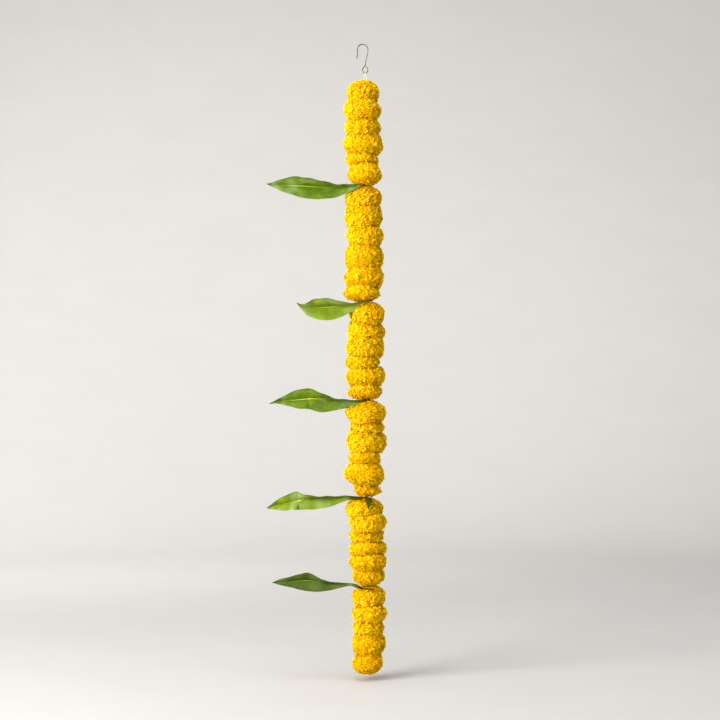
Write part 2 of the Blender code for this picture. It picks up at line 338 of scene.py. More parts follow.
def hang(
    name: str, node: str, slot: str, mesh_parts: Mesh, material: Material,
    attributes: dict[str, Array] | None = None, sharp: float = 60.0,
) -> None:
    """Makes a piece of the garland.

    Args:
        name: The piece's name.
        node: The CAD node that it stands for.
        slot: The record's material slot; not used.
        mesh_parts: Vertices in mm, and faces.
        material: The finish that it wears.
        attributes: A number for each vertex, by the attribute's name.
        sharp: Degrees; edges that turn more stay sharp.
    """
    vertices, faces = mesh_parts
    piece = add_object(name, (vertices * MM, faces), material, sharp)
    for label, values in (attributes or {}).items():
        numbers = piece.data.attributes.new(label, "FLOAT", "POINT").data
        numbers.foreach_set("value", values.astype(np.float32))
    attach(piece, BODY)
    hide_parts(node)
    LOG.info("%s stands for %s, %d faces", name, node, len(faces))


@dataclass(frozen=True)
class PetalFinish:
    """Living marigold petals: thin, matte and ribbed, so light soaks in and glows between them."""

    # The heart colour, a deeper orange at the petals' bases and on the core under them, is partly their
    # own tone and partly painted shade deep in the crevices.
    heart: str = "#F0AC00"
    body: str = "#F8B600"
    lip: str = "#FABC00"
    lemon: str = "#FBC000"
    blotch: float = 9.0
    rib_spacing: float = 0.8  # coarser than the real 0.3, so that it shows
    rib_depth: float = 0.1
    roughness: float = 0.62
    ior: float = 1.4
    shine: float = 0.1
    glow: float = 0.75  # share of the light that soaks in
    glow_reach: float = 3.5
    glow_tint: Triple = (1.0, 0.85, 0.1)  # red and green light reach far, blue doesn't

    def material(self) -> Material:
        """Builds the finish from the attributes "reach", "across" and "tint" of each petal.

        Returns:
            The material.
        """
        nodes = Shading("living_marigold_petal")
        reach = nodes.attribute("reach")
        # Darker towards the bases: partly the petals' own tone, partly painted shade in the crevices.
        grown = nodes.ramp(reach, (0.0, self.heart), (0.55, self.body), (0.92, self.lip))
        paleness = nodes.math("MULTIPLY", nodes.attribute("tint"), nodes.noise(self.blotch, 3.0))
        at_lip = nodes.math("MULTIPLY", paleness, reach)
        turns = nodes.math("MULTIPLY", nodes.attribute("across"), math.tau / self.rib_spacing)
        ribs = nodes.math("SINE", turns)
        values = {
            "Base Color": nodes.mix(at_lip, grown, linear(self.lemon)),
            "Roughness": self.roughness,
            "IOR": self.ior,
            "Specular IOR Level": self.shine,
            "Subsurface Weight": self.glow,
            "Subsurface Radius": self.glow_tint,
            "Subsurface Scale": self.glow_reach * MM,
            "Normal": nodes.bump(ribs, 0.25, self.rib_depth),
        }
        return nodes.surface(values)


class LeafAge(Enum):
    """How far a mango leaf has darkened, as its blade, hollow and vein colours and the pale colour of its
    painted sheen.
    """

    FRESH = ("#6F8408", "#5A6E06", "#C0CA54", "#93AC62")
    GROWN = ("#5A7104", "#425903", "#B2C24A", "#87A468")
    DARK = ("#425403", "#314202", "#7A8C30", "#5E7838")


@dataclass(frozen=True)
class LeafFinish:
    """Mango leaf: a waxy, leathery skin, whose pale midrib and fine side veins break up its gloss, with
    patches of painted sheen.
    """

    age: LeafAge
    # The stalk's and browned tip's own dark olive; near the stalk between the heads and along the curled
    # upper edge it is also painted shade.
    stalk: str = "#37400A"
    vein_spacing: float = 5.2
    vein_slant: float = -0.5  # along the leaf for each mm from the midrib: side veins lean to the tip
    vein_width: float = 0.16  # share of the spacing
    vein_strength: float = 0.12
    rib_width: float = 1.9
    mottle: float = 14.0
    # Size and strength of the pale patches of painted sheen.
    sheen_patch: float = 34.0
    sheen_strength: float = 0.38
    pore: float = 1.2
    relief: float = 0.15
    shine: float = 0.22
    roughness: float = 0.48
    roughness_spread: float = 0.12
    ior: float = 1.42

    def material(self) -> Material:
        """Builds the finish from the attributes "from_rib" and "along", in mm, "dark" and "rib".

        Returns:
            The material.
        """
        nodes = Shading(f"waxed_mango_leaf_{self.age.name.lower()}")
        blade, hollow, vein, painted_sheen = (linear(c) for c in self.age.value)
        distance = nodes.math("ABSOLUTE", nodes.attribute("from_rib"))
        slanted = nodes.math("MULTIPLY_ADD", distance, self.vein_slant, nodes.attribute("along"))
        turns = nodes.math("PINGPONG", slanted, self.vein_spacing / 2)
        vein_span = (0.0, self.vein_width * self.vein_spacing)
        side_vein = nodes.remap(turns, vein_span, (self.vein_strength, 0.0), smooth=True)
        rib_span = (0.3 * self.rib_width, 0.7 * self.rib_width)
        midrib = nodes.remap(distance, rib_span, (nodes.attribute("rib"), 0.0), smooth=True)
        veins = nodes.math("MAXIMUM", side_vein, midrib)
        spread = nodes.remap(nodes.noise(self.mottle, 4.0), (0.35, 0.65))
        # Painted sheen: pale patches that stand in for the gloss's reflection on the leaf.
        patches = nodes.noise(self.sheen_patch, 1.0)
        sheen_share = nodes.remap(patches, (0.5, 0.68), (0.0, self.sheen_strength), smooth=True)
        # The dark attribute mixes in the stalk's and tip's own darker colour, and painted shade where the
        # stalk lies between the heads and along the curled upper edge; the shine fades there too.
        dark = nodes.attribute("dark")
        colour = nodes.mix(spread, hollow, blade)
        for share, over in ((sheen_share, painted_sheen), (veins, vein), (dark, linear(self.stalk))):
            colour = nodes.mix(share, colour, over)
        relief = nodes.math("MULTIPLY_ADD", nodes.noise(self.pore, 2.0), 0.3, veins)
        rough_span = (self.roughness + self.roughness_spread, self.roughness - self.roughness_spread)
        values = {
            "Base Color": colour,
            "Roughness": nodes.remap(spread, to=rough_span),
            "IOR": self.ior,
            "Specular IOR Level": nodes.remap(dark, to=(self.shine, 0.0)),
            "Subsurface Weight": 0.08,
            "Subsurface Radius": (0.6, 1.0, 0.2),
            "Subsurface Scale": 1.0 * MM,
            "Normal": nodes.bump(relief, 0.5, self.relief),
        }
        return nodes.surface(values)


@dataclass(frozen=True)
class ThreadFinish:
    """Spun cotton, undyed: matte fibres that scatter light and show as fine streaks along the twist."""

    fibre: str = "#EDE3CF"
    shade: str = "#C9B893"
    fibre_width: float = 0.25
    roughness: float = 0.9

    def material(self) -> Material:
        """Builds the finish.

        Returns:
            The material.
        """
        nodes = Shading("spun_cotton_thread")
        fibres = nodes.noise(self.fibre_width, 3.0)
        values = {
            "Base Color": nodes.ramp(fibres, (0.35, self.shade), (0.65, self.fibre)),
            "Roughness": self.roughness,
            "Sheen Weight": 0.3,
            "Sheen Roughness": 0.5,
            "Normal": nodes.bump(fibres, 0.4, 0.05),
        }
        return nodes.surface(values)


@dataclass(frozen=True)
class WireFinish:
    """Drawn steel wire, a little tarnished: a dull shine with fine lines and brown-grey patches."""

    bright: str = "#858377"
    tarnish: str = "#46443A"
    patch: float = 4.0
    line: float = 0.3
    roughness: float = 0.38

    def material(self) -> Material:
        """Builds the finish.

        Returns:
            The material.
        """
        nodes = Shading("drawn_steel_wire")
        patches = nodes.noise(self.patch, 5.0)
        values = {
            "Base Color": nodes.ramp(patches, (0.38, self.tarnish), (0.62, self.bright)),
            "Metallic": 1.0,
            "Roughness": nodes.remap(patches, to=(self.roughness + 0.15, self.roughness - 0.08)),
            "Normal": nodes.bump(nodes.noise(self.line, 2.0), 0.2, 0.03),
        }
        return nodes.surface(values)


@dataclass(frozen=True)
class PetalCut:
    """The outline and ruffle that every petal of a head is cut to, in mm, before it varies."""

    length: float = 7.5
    half_width: float = 3.3
    base_share: float = 0.3  # half width at the base, as a share of the largest
    widest: float = 0.75  # share of the length at which it is widest
    thickness: float = 0.4
    bend: Pair = (50.0, 105.0)  # degrees by which the lip turns over, least and most
    bend_power: float = 1.7  # the higher, the nearer to the lip a petal bends
    hang_back: float = 0.6  # share of the lip's overhang by which the base stands back from its spot
    ruffle: Pair = (0.3, 0.8)  # how far the lip waves
    ruffle_power: float = 2.2  # the higher, the nearer to the lip it waves
    waves: Pair = (0.9, 1.7)  # waves across the lip
    cup: Pair = (0.2, 0.5)  # how far the lip's corners stand forward: mean and spread
    notch: float = 0.35  # depth of the lip's scallops
    corner: float = 1.2  # how far the lip's corners are rounded off
    rows: tuple[float, ...] = (0.0, 0.45, 0.78, 1.0)  # shares of the length
    columns: int = 7

    def faces(self) -> Array:
        """The quads of one petal.

        Returns:
            The front sheet's grid, then the back's, which shares its outline.
        """
        rows, columns = len(self.rows), self.columns
        front = np.arange(rows * columns).reshape(rows, columns)
        back = front.copy()
        inner = (rows - 2) * (columns - 2)
        back[1:-1, 1:-1] = rows * columns + np.arange(inner).reshape(rows - 2, columns - 2)
        quads = []
        for sheet, order in ((front, (0, 1, 2, 3)), (back, (3, 2, 1, 0))):
            corners = (sheet[:-1, :-1], sheet[:-1, 1:], sheet[1:, 1:], sheet[1:, :-1])
            quads.append(np.stack([corners[i] for i in order], axis=-1).reshape(-1, 4))
        return np.concatenate(quads)


FREE_RIM = 0.56  # a free end's rim, as a share of the head's radius
SQUEEZED_RIM = (0.78, 0.92)  # the same for a squeezed end, least and most
SEAM_RISES = (1.6, 1.3, 0.8, 0.6)  # mm by which a seam usually rises in one wave, two waves, ...
FIRST_SEAM_SEED = 900
PETAL_MARGIN = 1.03  # width of a head's CAD box, as a share of the width between its petals' tips


@dataclass(frozen=True)
class Seam:
    """Where a head ends: free, or squeezed against the next head, which then ends in the same shape."""

    squeezed: bool
    rim: float  # mm from the thread to the head's side here
    waves: tuple[Pair, ...] = ()  # mm of rise and start in radians, of one wave, two, ...

    @classmethod
    def at(cls, number: int, squeezed: bool, radius: float) -> "Seam":
        """Makes the seam below a head.

        Args:
            number: The head's number, or 0 for the seam above the first.
            squeezed: Whether there is a head on both sides.
            radius: The smaller of their radii, in mm.

        Returns:
            The seam.
        """
        if not squeezed:
            return cls(False, FREE_RIM * radius)
        rng = np.random.default_rng(FIRST_SEAM_SEED + number)
        rises = rng.normal(0, SEAM_RISES)
        rim = rng.uniform(*SQUEEZED_RIM) * radius
        return cls(True, rim, tuple(zip(rises, rng.uniform(0, math.tau, len(SEAM_RISES)))))

    def lift(self, turn: Array) -> Array:
        """How far the seam stands above its mean height at each angle round the thread, in mm."""
        waves = (rise * np.cos(i * turn - start) for i, (rise, start) in enumerate(self.waves, start=1))
        return sum(waves, np.zeros_like(turn))


def head_radius(low: Array, high: Array) -> float:
    """A head's radius in mm, from the corners of its CAD box."""
    return (high - low)[:2].mean() / 2 / PETAL_MARGIN


@dataclass
class FlowerHead:
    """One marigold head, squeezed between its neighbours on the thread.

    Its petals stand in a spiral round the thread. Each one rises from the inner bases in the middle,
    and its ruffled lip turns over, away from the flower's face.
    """

    number: int
    low: Array  # corners of the head's CAD box, in mm
    high: Array
    top: Seam
    bottom: Seam
    faces_up: bool
    cut: PetalCut = PetalCut()
    patch: float = 12.5  # mm2 of the head's surface for each petal
    bulge_power: float = 2.1
    dome: float = 0.11  # how far a free end rises, as a share of the half height
    lump_size: float = 0.34  # mm by which each of its lumps swells the head
    lumps: int = 12
    stray: float = 0.6  # mm by which lips stand out unevenly
    turn_stray: float = 0.04  # radians by which they leave the spiral
    tilt_stray: float = 0.12  # how unevenly they lean
    size_stray: float = 0.13  # how unevenly they grow
    smallest: float = 0.66  # size of a petal on the thread, as a share of one at the side
    stretch: Pair = (2.2, 1.15)  # how much less than a ball a squeezed and a free end slope
    yaw: float = 42.0  # degrees by which petals turn about their own length
    cover: float = 2.4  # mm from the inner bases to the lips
    bore: float = 1.0
    side_steps: int = 40
    dome_steps: int = 8
    heart_sides: int = 72
    heart_stray: float = 0.55

    def __post_init__(self) -> None:
        """Works out the head's middle, radius, half height and lumps."""
        self.middle = (self.low + self.high) / 2
        self.radius = head_radius(self.low, self.high)
        self.half = (self.high - self.low)[2] / 2
        self.rng = np.random.default_rng(self.number)
        turns = self.rng.integers(3, 18, self.lumps)
        rises = self.rng.uniform(-7, 7, self.lumps)
        self.lump_waves = tuple(zip(turns, rises, self.rng.uniform(0, math.tau, self.lumps)))

    def outline(self) -> Array:
        """The side of the head, with the domes of its free ends.

        Returns:
            Points (radius, height) down it, in mm.
        """
        share = np.linspace(1, -1, self.side_steps + 1)
        rims = np.where(share > 0, self.top.rim, self.bottom.rim) / self.radius
        radius = self.radius * (1 - (1 - rims) * np.abs(share) ** self.bulge_power)
        parts = [np.stack([radius, self.half * share], axis=1)]
        inwards = np.linspace(0.95, 0.1, self.dome_steps)
        rise = self.half * (1 + self.dome * (1 - inwards**2))
        if not self.top.squeezed:
            parts.insert(0, np.stack([inwards * radius[0], rise], axis=1)[::-1])
        if not self.bottom.squeezed:
            parts.append(np.stack([inwards * radius[-1], -rise], axis=1))
        return np.concatenate(parts)

    def place(self, radius: Array, height: Array, turn: Array) -> Array:
        """Points of the head, with its lumps, and with its ends following the seams.

        Args:
            radius: Distance from the thread on the even head, in mm.
            height: Height above the head's middle on the even head, in mm.
            turn: Angle round the thread.

        Returns:
            The points, in mm.
        """
        swell = 0.0
        for turns, rises, start in self.lump_waves:
            swell = swell + self.lump_size * np.sin(turns * turn + rises * height / self.half + start)
        from_thread = radius / self.radius
        radius = radius + swell * from_thread**2
        upper = smoothstep(height / self.half / 2 + 0.5)
        lift = upper * self.top.lift(turn) + (1 - upper) * self.bottom.lift(turn)
        height = height + lift * from_thread
        return self.middle + np.stack([radius * np.cos(turn), radius * np.sin(turn), height], axis=-1)

    def spots(self) -> tuple[Array, Array, Array, Array]:
        """Where the petals' lips stand.

        Returns:
            Each lip's place, the way out of the head there, the way its lip turns over, and its size.
        """
        outline = self.outline()
        steps = np.diff(outline, axis=0)
        areas = math.tau * (outline[1:, 0] + outline[:-1, 0]) / 2 * np.hypot(*steps.T)
        covered = running(areas)
        count = int(covered[-1] / self.patch)
        at = (np.arange(count) + self.rng.uniform(0.2, 0.8, count)) / count * covered[-1]
        radius, height = (np.interp(at, covered, column) for column in outline.T)
        turn = np.arange(count) * GOLDEN_ANGLE + self.rng.normal(0, self.turn_stray, count)
        turn = turn + self.number
        ends = np.where(height > 0, self.top.squeezed, self.bottom.squeezed)
        stretch = np.where(ends, *self.stretch)
        slope = np.stack([radius / self.radius**2, height / (stretch * self.half) ** 2], axis=1)
        slope = unit(slope) + self.rng.normal(0, self.tilt_stray, slope.shape)
        flat, rise = unit(slope).T
        cosine, sine = np.cos(turn), np.sin(turn)
        outwards = np.stack([flat * cosine, flat * sine, rise], axis=1)
        down = np.stack([rise * cosine, rise * sine, -flat], axis=1)
        if not self.faces_up:
            down = -down
        places = self.place(radius, height, turn)
        places = places + outwards * self.rng.normal(0, self.stray, (count, 1))
        sizes = self.smallest + (1 - self.smallest) * smoothstep(radius / (0.7 * self.radius))
        return places, outwards, down, sizes * self.rng.normal(1, self.size_stray, count)

    def petals(self) -> tuple[Array, Array, dict[str, Array]]:
        """The head's petals.

        Returns:
            Vertices in mm, quads, and the attributes of each vertex.
        """
        cut, rng = self.cut, self.rng
        places, outwards, down, sizes = self.spots()
        count = len(places)
        yaw = rng.normal(0, math.radians(self.yaw), (count, 1))
        sideways = np.cross(outwards, down)
        cosine, sine = np.cos(yaw), np.sin(yaw)
        down, sideways = down * cosine + sideways * sine, sideways * cosine - down * sine
        v = np.array(cut.rows)
        u = np.linspace(-1, 1, cut.columns)
        bend = np.radians(rng.uniform(*cut.bend, (count, 1)))
        middle_bend = bend * ((v[1:] + v[:-1]) / 2) ** cut.bend_power
        lengths = (np.diff(v) * cut.length) * sizes[:, None]
        out_way = running(np.cos(middle_bend) * lengths)
        down_way = running(np.sin(middle_bend) * lengths)
        out_way -= out_way[:, -1:]
        down_way -= down_way[:, -1:] * cut.hang_back
        turned = bend * v**cut.bend_power

        widening = cut.base_share + (1 - cut.base_share) * smoothstep(v / cut.widest)
        across = (cut.half_width * widening * sizes[:, None])[..., None] * u
        each = (count, 1, 1)
        depth = rng.uniform(*cut.ruffle, each)
        waves = rng.uniform(*cut.waves, each)
        phase = rng.uniform(0, math.tau, each)
        cup = rng.normal(*cut.cup, each)
        grown = v[None, :, None] ** cut.ruffle_power
        ruffle = depth * grown * np.sin(math.pi * waves * u + phase) + cup * grown * u**2
        scallops = cut.notch * np.cos(math.tau * waves * u + phase) - cut.corner * np.abs(u) ** 3
        lip = scallops * v[None, :, None] ** 3 * sizes[:, None, None]

        cosine, sine = np.cos(turned)[..., None], np.sin(turned)[..., None]
        outwards, down = outwards[:, None], down[:, None]
        along = cosine * outwards + sine * down
        facing = cosine * down - sine * outwards
        spine = places[:, None] + out_way[..., None] * outwards + down_way[..., None] * down
        sheet = (
            spine[:, :, None]
            + across[..., None] * sideways[:, None, None]
            + ruffle[..., None] * facing[:, :, None]
            + lip[..., None] * along[:, :, None]
        )
        normals = unit(np.cross(np.gradient(sheet, axis=2), np.gradient(sheet, axis=1)))
        fullness = np.outer(v * (1.15 - v) * 3, 1 - u**2)[None, ..., None]
        offset = normals * cut.thickness / 2 * np.sqrt(np.clip(fullness, 0, 1))
        front, back = sheet.copy(), sheet.copy()
        inside = (slice(None), slice(1, -1), slice(1, -1))
        front[inside] += offset[inside]
        back[inside] -= offset[inside]
        both = [front.reshape(count, -1, 3), back[inside].reshape(count, -1, 3)]
        vertices = np.concatenate(both, axis=1)
        firsts = np.arange(count)[:, None, None] * vertices.shape[1]
        attributes = {"reach": v[None, :, None], "across": across, "tint": rng.uniform(0, 1, each)}
        for label, values in attributes.items():
            values = np.broadcast_to(values, sheet.shape[:3])
            both = [values.reshape(count, -1), values[inside].reshape(count, -1)]
            attributes[label] = np.concatenate(both, axis=1).ravel()
        return vertices.reshape(-1, 3), (cut.faces() + firsts).reshape(-1, 4), attributes

    def heart(self) -> Mesh:
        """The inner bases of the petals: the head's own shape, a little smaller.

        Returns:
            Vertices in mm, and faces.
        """
        outline = self.outline()[::2]
        radius = np.maximum(outline[:, 0] - self.cover, self.bore + 1)
        height = outline[:, 1] * (1 - 0.5 / self.half)
        radius = np.concatenate([radius, [self.bore, self.bore]])
        height = np.concatenate([height, height[[-1, 0]]])
        turn = whole_turn(self.heart_sides)[:, None]
        rings = self.place(*np.broadcast_arrays(radius, height, turn))
        rings[:, :-2] += self.rng.normal(0, self.heart_stray, rings[:, :-2].shape)
        faces = ring_faces(self.heart_sides, len(radius), closed=True)
        return rings.reshape(-1, 3), [face[::-1] for face in faces]

    def build(self, material: Material) -> None:
        """Makes the head as one object, in place of its CAD node.

        Args:
            material: The petals' finish.
        """
        vertices, faces, attributes = self.petals()
        heart = self.heart()
        # The core takes the heart colour, which is partly painted shade deep in the head.
        for label, value in {"reach": 0.0, "across": 0.0, "tint": 0.3}.items():
            attributes[label] = np.append(attributes[label], np.full(len(heart[0]), value))
        head = join([(vertices, faces.tolist()), heart])
        names = f"marigold_head_{self.number:02d}", f"flower_{self.number:02d}"
        hang(*names, "petals", head, material, attributes, 75.0)


@dataclass(frozen=True)
class LeafShape:
    """One leaf's sizes in mm from where its stalk meets the thread, and how old it is."""

    age: LeafAge
    tip: Triple  # reach, front, height
    blade: tuple[tuple[float, ...], ...]  # reach, front, heights of lower edge, midrib and upper edge
    stalk: tuple[Triple, ...]  # (right, front, up) of its middle, down to the cut end
    dark_and_shade_from: float  # reach at which it starts to darken towards the stalk: the stalk's own colour and painted shade between the heads
    flare: float = 0.0  # how much wider the stalk's end is than the stalk


LEAVES = (
    LeafShape(
        LeafAge.GROWN, tip=(161, 2, 3), dark_and_shade_from=12,
        blade=(
            (140, 4, -8, 1, 9), (118, 5, -16, 0, 14), (95, 6, -22, -1, 11), (71, 8, -23, -2.5, 6),
            (46, 11, -20, -2, 0), (31, 15, -14, -1, 0), (20, 18, -9, -0.5, 1), (10, 18, -4.5, -0.5, 1),
        ),
        stalk=((-5, 17, 0), (-2, 13, 0), (1, 4, 0), (3, 0, 0)),
    ),
    LeafShape(
        LeafAge.FRESH, tip=(112, 10, -2), dark_and_shade_from=3,
        blade=(
            (104, 10, -13, -6.5, -4), (94, 10, -23, -9.5, -2), (82, 10, -28, -10, 4),
            (66, 10, -31, -9, 5), (50, 11, -29, -8, 3), (36.5, 13, -24.6, -6, -1),
            (25, 17, -18, -5.4, -2.5), (12, 19, -11.5, -4.5, -1.5), (3, 19, -7, -2.5, -0.5),
            (-4, 18, -2, -0.5, 0.5),
        ),
        stalk=((8, 17, 1), (11, 12, 1.5)),
    ),
    LeafShape(
        LeafAge.GROWN, tip=(157, 2, -6), dark_and_shade_from=10,
        blade=(
            (144, 4, -6, -2, 1), (129, 4, -9, -1, 9), (113, 5, -13, 0, 16), (92, 6, -15, 2, 19),
            (71, 7, -20, 2.5, 12), (51, 10, -17, 2, 4), (33, 14, -13.6, 0.5, 1.5),
            (20, 18, -10.5, 0, 1), (10, 19, -8, -0.5, 0.5), (1, 18, -3, -1, 0),
        ),
        stalk=((4, 15, 0), (8, 9, 0.5)),
    ),
    LeafShape(
        LeafAge.FRESH, tip=(161, 4, -18), dark_and_shade_from=34, flare=3.6,
        blade=(
            (148, 6, -20, -13, -7), (133, 6, -21, -11, 2), (114, 6, -20, -7, 9), (99, 7, -20, -3, 6),
            (82, 8, -19, 0.5, 3.5), (62, 10, -16, 2, 3.5), (44, 13, -10, 2, 3.5),
            (28, 17, -4, 1.8, 3.8), (18, 19, -3.5, 0.5, 3), (8, 20, -3.5, 0, 2),
        ),
        stalk=((-1, 20, 0), (3.5, 23, 0), (5.5, 28, -4), (5.5, 33, -10), (5, 35, -17)),
    ),
    LeafShape(
        LeafAge.DARK, tip=(152, 3, 5), dark_and_shade_from=22, flare=0.8,
        blade=(
            (139, 4, 1, 6, 11), (120, 4, -3, 7, 16), (107, 5, -6, 8, 20), (95, 6, -8, 9, 23),
            (78, 7, -9, 8, 17), (60, 9, -7, 7, 9), (41, 13, -2.3, 6, 6.7), (25, 17, 1.3, 3.5, 5.7),
            (15, 18, -1.5, 1.5, 4.5), (6, 18, -4.5, -2.5, -0.5),
        ),
        stalk=((0, 18, -3), (5, 19, -3.5), (9, 20, -3.5), (14, 20, -5)),
    ),
)


@dataclass
class MangoLeaf:
    """One leaf in one piece: a blade folded along its midrib, which narrows to a stalk that ends cut."""

    number: int
    crossing: Array  # where the stalk meets the thread, in mm
    shape: LeafShape
    stalk_radius: float = 1.2
    lean: float = math.radians(20)  # the least that each half of the blade folds towards the front
    thickness: float = 0.5
    thinnest: float = 0.02
    rib_height: float = 0.9  # how far the midrib stands out behind
    rib_width: float = 1.1
    arch: float = 0.09  # how far each half arches, as a share of its width
    edge_wave: float = 0.6
    edge_wave_length: float = 27.0
    full_wave_width: float = 12.0  # narrower blades wave less
    half_columns: int = 14
    crowding: float = 0.85  # below 1, columns stand closer together towards the edges
    steps: int = 22  # cross-sections for each row of the blade
    stalk_steps: int = 8
    join_steps: int = 10  # cross-sections over which the blade's section rounds into the stalk's
    dark_and_shade_span: float = 14.0  # mm over which it darkens
    dark_tip: Pair = (11.0, 0.85)  # the darker tip's length, and how far it darkens
    edge_shade: float = 0.5  # how far painted shade darkens the curled upper edge
    shaded_edge: Pair = (0.78, 0.2)  # where the painted shade on the upper edge starts, and its width, as shares of the upper half
    rib_from: float = 12.0  # mm from the tip at which the pale midrib starts
    rib_span: float = 45.0  # mm over which it grows to its full strength
    taper_from: float = 29.0  # a stalk tapers where it reaches further to the front than this
    taper_length: float = 7.0

    def shares(self) -> Array:
        """Places across the front: 1 at the upper edge, 0 on the midrib and -1 at the lower edge."""
        half = np.linspace(0, 1, self.half_columns + 1) ** self.crowding
        return np.concatenate([half[::-1], -half[1:]])

    def blade_rings(self, rows: Array) -> tuple[Array, Array]:
        """Cross-sections of the blade.

        Args:
            rows: Reach, front, lower edge, midrib and upper edge of each section, in mm.

        Returns:
            The rings' vertices (section, corner, 3), and each corner's distance from the midrib.
        """
        reach, front, lower, rib, upper = rows.T
        shares = self.shares()
        is_upper = shares > 0
        span = np.abs(shares)
        drop = np.maximum(rib - lower, self.thinnest)[:, None]
        rise = np.maximum(upper - rib, self.thinnest)[:, None]
        shown = np.where(is_upper, rise, drop)  # the height that each half shows from the front
        width = np.maximum(drop, rise) / math.cos(self.lean)
        folded = np.sqrt(width**2 - shown**2)
        zero = np.zeros_like(shown)
        chord = np.stack([zero, -folded * span, shown * shares], axis=-1)
        backwards = unit(np.stack([zero, shown, np.where(is_upper, folded, -folded)], axis=-1))
        from_rib = shares * width
        turn = math.tau * reach[:, None] / self.edge_wave_length + np.where(is_upper, 0, 2)
        wave = self.edge_wave * np.sin(turn) * span**3 * np.clip(width / self.full_wave_width, 0, 1)
        arch = self.arch * width * np.sin(math.pi * span)
        middle = np.stack([-reach, -front, rib], axis=-1)[:, None]
        sheet = middle + chord + backwards * (wave - arch)[..., None]
        thick = np.minimum(self.thickness, width) / 2 * np.sqrt(np.clip(1 - span**2, 0, 1))
        rib_bulge = np.minimum(self.rib_height * np.exp(-((from_rib / self.rib_width) ** 2)), width)
        face = sheet - backwards * thick[..., None]
        back = (sheet + backwards * (thick + rib_bulge)[..., None])[:, -2:0:-1]
        distances = np.concatenate([from_rib, from_rib[:, -2:0:-1]], axis=1)
        return np.concatenate([face, back], axis=1), distances

    def stalk_rings(self, path: Array, corners: int) -> Array:
        """Round cross-sections of the stalk.

        Args:
            path: The stalk's middle, in mm, from the blade to the cut end.
            corners: How many corners a section has.

        Returns:
            The rings' vertices, in the same order round the leaf as the blade's.
        """
        along = unit(np.gradient(path, axis=0))
        up = unit(np.array([0.0, 0.0, 1.0]) - along * along[:, 2:])
        front = np.cross(along, up)
        angles = whole_turn(corners)[None, :, None]
        share = np.linspace(0, 1, len(path))[:, None, None]
        widening = 1 + self.shape.flare * smoothstep(share / 0.3)
        tapered = smoothstep((-path[:, 1] - self.taper_from) / self.taper_length)
        taper = 1 - 0.85 * tapered[:, None, None]
        ring = np.cos(angles) * up[:, None] + widening * taper * np.sin(angles) * front[:, None]
        return path[:, None] + self.stalk_radius * ring

    def mesh(self) -> tuple[Mesh, dict[str, Array]]:
        """The leaf's shape.

        Returns:
            Vertices in mm with faces, and the attributes of each vertex.
        """
        reach, front, height = self.shape.tip
        tip = (reach, front, height - 0.3, height, height + 0.3)
        rows = through(np.array([tip, *self.shape.blade], float), self.steps)
        blade, distances = self.blade_rings(rows)
        corners = blade.shape[1]

        last = blade[-1].mean(axis=0)
        path = [last, *((right, -forward, up) for right, forward, up in self.shape.stalk)]
        path = through(np.array(path, float), self.stalk_steps)[1:]
        ease = smoothstep(np.arange(1, len(path) + 1) / self.join_steps)[:, None, None]
        narrowed = path[:, None] + (blade[-1] - last) * (1 - 0.9 * ease)
        stalk = self.stalk_rings(path, corners) * ease + narrowed * (1 - ease)

        rings = np.concatenate([blade, stalk])
        along = np.concatenate([rows[:, 0], -path[:, 0]])
        beyond = np.full(stalk.shape[:2], self.full_wave_width)
        # Darker towards the stalk: the cut stalk's own colour, and painted shade where the stalk and the
        # blade's base lie between the heads.
        base = smoothstep((self.shape.dark_and_shade_from - along) / self.dark_and_shade_span)
        tip_length, tip_strength = self.dark_tip
        dark = np.maximum(base, tip_strength * smoothstep(1 - (reach - along) / tip_length))
        # Painted shade along the curled upper edge.
        shares, (start, span) = self.shares(), self.shaded_edge
        shaded_edge = smoothstep((np.concatenate([shares, shares[-2:0:-1]]) - start) / span)
        attributes = {
            "along": np.repeat(along, corners),
            "from_rib": np.concatenate([distances.ravel(), beyond.ravel()]),
            "dark": np.maximum(dark[:, None], self.edge_shade * shaded_edge).ravel(),
            "rib": np.repeat(smoothstep((reach - along - self.rib_from) / self.rib_span), corners),
        }
        return (rings.reshape(-1, 3) + self.crossing, ring_faces(len(rings), corners)), attributes

    def build(self) -> None:
        """Makes the leaf as one object, in place of its CAD node."""
        leaf, attributes = self.mesh()
        material = LeafFinish(self.shape.age).material()
        names = f"mango_leaf_{self.number}", f"leaf_{self.number}"
        hang(*names, "leaf", leaf, material, attributes, 80.0)


@dataclass
class WireHook:
    """The hook: one round wire with a flared tip, a round crown, a slanting shank and a teardrop eye."""

    radius: float = 0.8
    crown_radius: float = 8.5
    crown_steps: int = 8
    steps: int = 8  # cross-sections from one point of the wire to the next
    tip: tuple = ((-10.0, -22.8), (-8.9, -19.6), (-8.5, -15.5))
    shank: tuple = ((8.3, -13.0), (6.6, -20.5), (5.1, -27.0), (4.7, -31.5))
    eye_down: tuple = ((3.2, -35.2), (0.6, -38.6), (-0.2, -42.0), (1.5, -45.4), (4.2, -46.6))
    eye_up: tuple = ((7.1, -45.2), (8.4, -42.0), (7.7, -38.8), (6.5, -36.3), (5.7, -34.6))
    sides: int = 20

    def build(self) -> None:
        """Makes the hook as one object, in place of its CAD node."""
        turns = math.pi * (1 - np.arange(self.crown_steps + 1) / self.crown_steps)
        middle = self.radius - self.crown_radius
        crown = self.crown_radius * np.stack([np.cos(turns), np.sin(turns)], axis=1) + (0, middle)
        parts = [self.tip, crown, self.shank, self.eye_down, self.eye_up]
        flat = through(np.concatenate(parts), self.steps)
        path = np.stack([flat[:, 0], np.zeros(len(flat)), flat[:, 1]], axis=1)
        from_start = travelled(path)
        nearest = np.minimum(from_start, from_start[-1] - from_start)
        rounding = np.sqrt(np.clip(1 - (1 - nearest / self.radius).clip(0, 1) ** 2, 0.02, 1))
        radii = self.radius * rounding[:, None] * np.ones((1, self.sides))
        wire = WireFinish().material()
        hang("wire_hook", "garland_hook", "wire", sweep(path, radii), wire, sharp=50.0)


